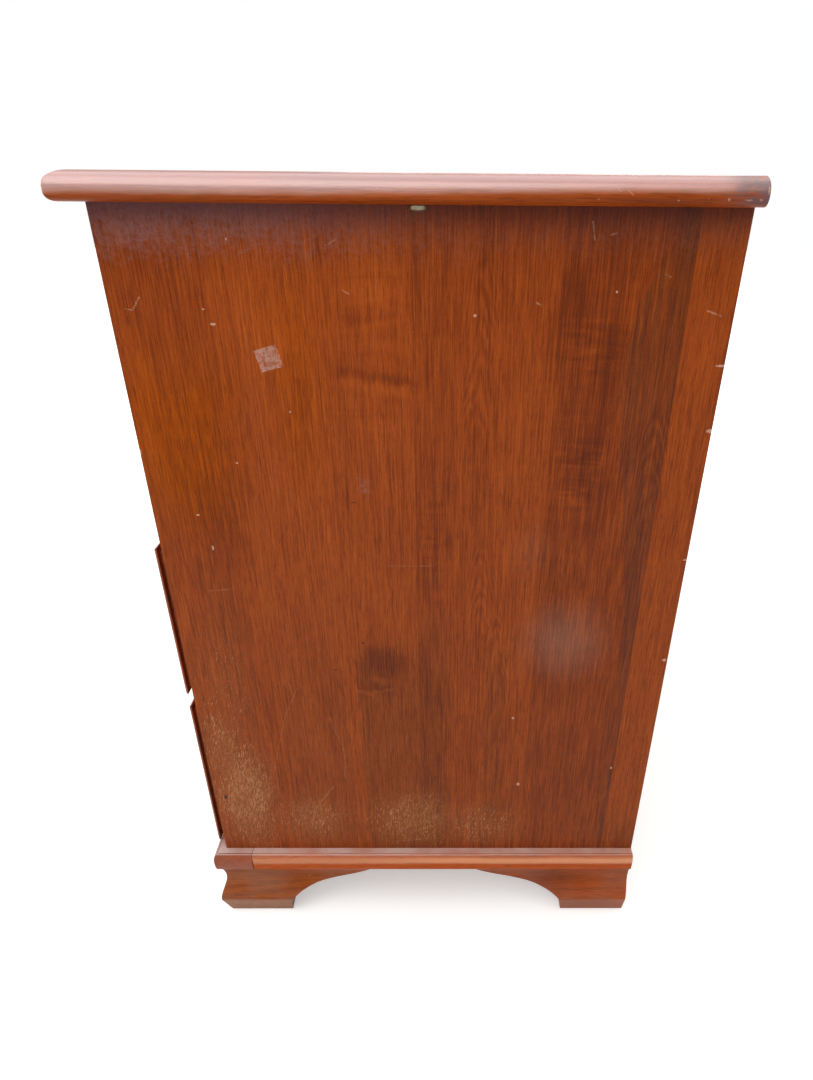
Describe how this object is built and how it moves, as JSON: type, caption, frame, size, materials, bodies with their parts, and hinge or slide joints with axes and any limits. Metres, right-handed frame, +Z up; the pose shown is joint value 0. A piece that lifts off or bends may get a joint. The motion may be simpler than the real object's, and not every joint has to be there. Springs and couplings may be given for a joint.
{
  "type": "chest of drawers",
  "caption": "Low wooden chest with graduated lipped drawers, bail pulls, an overhanging moulded top, a moulded base and ogee bracket feet.",
  "frame": {"origin": "on the floor under the centre of the whole chest", "axes": "+X along the chest's width to its right end, +Y from front to back, +Z up"},
  "size_m": [0.862, 0.5168, 0.772],
  "materials": {
    "cherry_finish": "reddish-brown stained cherry under worn satin lacquer",
    "poplar": "plain pale secondary wood, sanded and sealed",
    "plywood": "thin plywood, stained and dull",
    "brass": "aged brass, softly polished",
    "zinc_steel": "dull yellowed zinc plating"
  },
  "bodies": {
    "case": {"top": "cherry_finish", "side_panel_left": "cherry_finish", "side_panel_right": "cherry_finish", "back_panel": "plywood", "top_rail": "cherry_finish", "divider_rail_1": "cherry_finish", "divider_rail_2": "cherry_finish", "divider_rail_3": "cherry_finish", "bottom_rail": "cherry_finish", "dust_panel_1": "poplar", "dust_panel_2": "poplar", "dust_panel_3": "poplar", "case_bottom": "poplar", "base_front": "cherry_finish", "base_side_left": "cherry_finish", "base_side_right": "cherry_finish", "base_back": "poplar", "front_foot_left": "cherry_finish", "front_foot_right": "cherry_finish", "rear_foot_left": "cherry_finish", "rear_foot_right": "cherry_finish", "top_fastener_left": "zinc_steel", "top_fastener_right": "zinc_steel"},
    "drawer_1": {"drawer_1_front": "cherry_finish", "drawer_1_side_left": "poplar", "drawer_1_side_right": "poplar", "drawer_1_back": "poplar", "drawer_1_bottom": "poplar", "pull_1_left": "brass", "pull_1_right": "brass"},
    "handle_1_left": {"bail_1_left": "brass"},
    "handle_1_right": {"bail_1_right": "brass"},
    "drawer_2": {"drawer_2_front": "cherry_finish", "drawer_2_side_left": "poplar", "drawer_2_side_right": "poplar", "drawer_2_back": "poplar", "drawer_2_bottom": "poplar", "pull_2_left": "brass", "pull_2_right": "brass"},
    "handle_2_left": {"bail_2_left": "brass"},
    "handle_2_right": {"bail_2_right": "brass"},
    "drawer_3": {"drawer_3_front": "cherry_finish", "drawer_3_side_left": "poplar", "drawer_3_side_right": "poplar", "drawer_3_back": "poplar", "drawer_3_bottom": "poplar", "pull_3_left": "brass", "pull_3_right": "brass"},
    "handle_3_left": {"bail_3_left": "brass"},
    "handle_3_right": {"bail_3_right": "brass"},
    "drawer_4": {"drawer_4_front": "cherry_finish", "drawer_4_side_left": "poplar", "drawer_4_side_right": "poplar", "drawer_4_back": "poplar", "drawer_4_bottom": "poplar", "pull_4_left": "brass", "pull_4_right": "brass"},
    "handle_4_left": {"bail_4_left": "brass"},
    "handle_4_right": {"bail_4_right": "brass"}
  },
  "joints": [
    {"name": "drawer_1_slide", "type": "slide", "parent": "case", "child": "drawer_1", "axis": [0, -1, 0], "range_m": [0, 0.33]},
    {"name": "handle_1_left_swing", "type": "hinge", "parent": "drawer_1", "child": "handle_1_left", "pos_m": [-0.205, -0.2439, 0.69281], "axis": [-1, 0, 0], "range_deg": [0, 95]},
    {"name": "handle_1_right_swing", "type": "hinge", "parent": "drawer_1", "child": "handle_1_right", "pos_m": [0.205, -0.2439, 0.69281], "axis": [-1, 0, 0], "range_deg": [0, 95]},
    {"name": "drawer_2_slide", "type": "slide", "parent": "case", "child": "drawer_2", "axis": [0, -1, 0], "range_m": [0, 0.33]},
    {"name": "handle_2_left_swing", "type": "hinge", "parent": "drawer_2", "child": "handle_2_left", "pos_m": [-0.205, -0.2439, 0.56119], "axis": [-1, 0, 0], "range_deg": [0, 95]},
    {"name": "handle_2_right_swing", "type": "hinge", "parent": "drawer_2", "child": "handle_2_right", "pos_m": [0.205, -0.2439, 0.56119], "axis": [-1, 0, 0], "range_deg": [0, 95]},
    {"name": "drawer_3_slide", "type": "slide", "parent": "case", "child": "drawer_3", "axis": [0, -1, 0], "range_m": [-0.0095, 0.33]},
    {"name": "handle_3_left_swing", "type": "hinge", "parent": "drawer_3", "child": "handle_3_left", "pos_m": [-0.205, -0.2534, 0.39706], "axis": [-1, 0, 0], "range_deg": [0, 95]},
    {"name": "handle_3_right_swing", "type": "hinge", "parent": "drawer_3", "child": "handle_3_right", "pos_m": [0.205, -0.2534, 0.39706], "axis": [-1, 0, 0], "range_deg": [0, 95]},
    {"name": "drawer_4_slide", "type": "slide", "parent": "case", "child": "drawer_4", "axis": [0, -1, 0], "range_m": [-0.0095, 0.33]},
    {"name": "handle_4_left_swing", "type": "hinge", "parent": "drawer_4", "child": "handle_4_left", "pos_m": [-0.205, -0.2534, 0.20044], "axis": [-1, 0, 0], "range_deg": [0, 95]},
    {"name": "handle_4_right_swing", "type": "hinge", "parent": "drawer_4", "child": "handle_4_right", "pos_m": [0.205, -0.2534, 0.20044], "axis": [-1, 0, 0], "range_deg": [0, 95]}
  ]
}
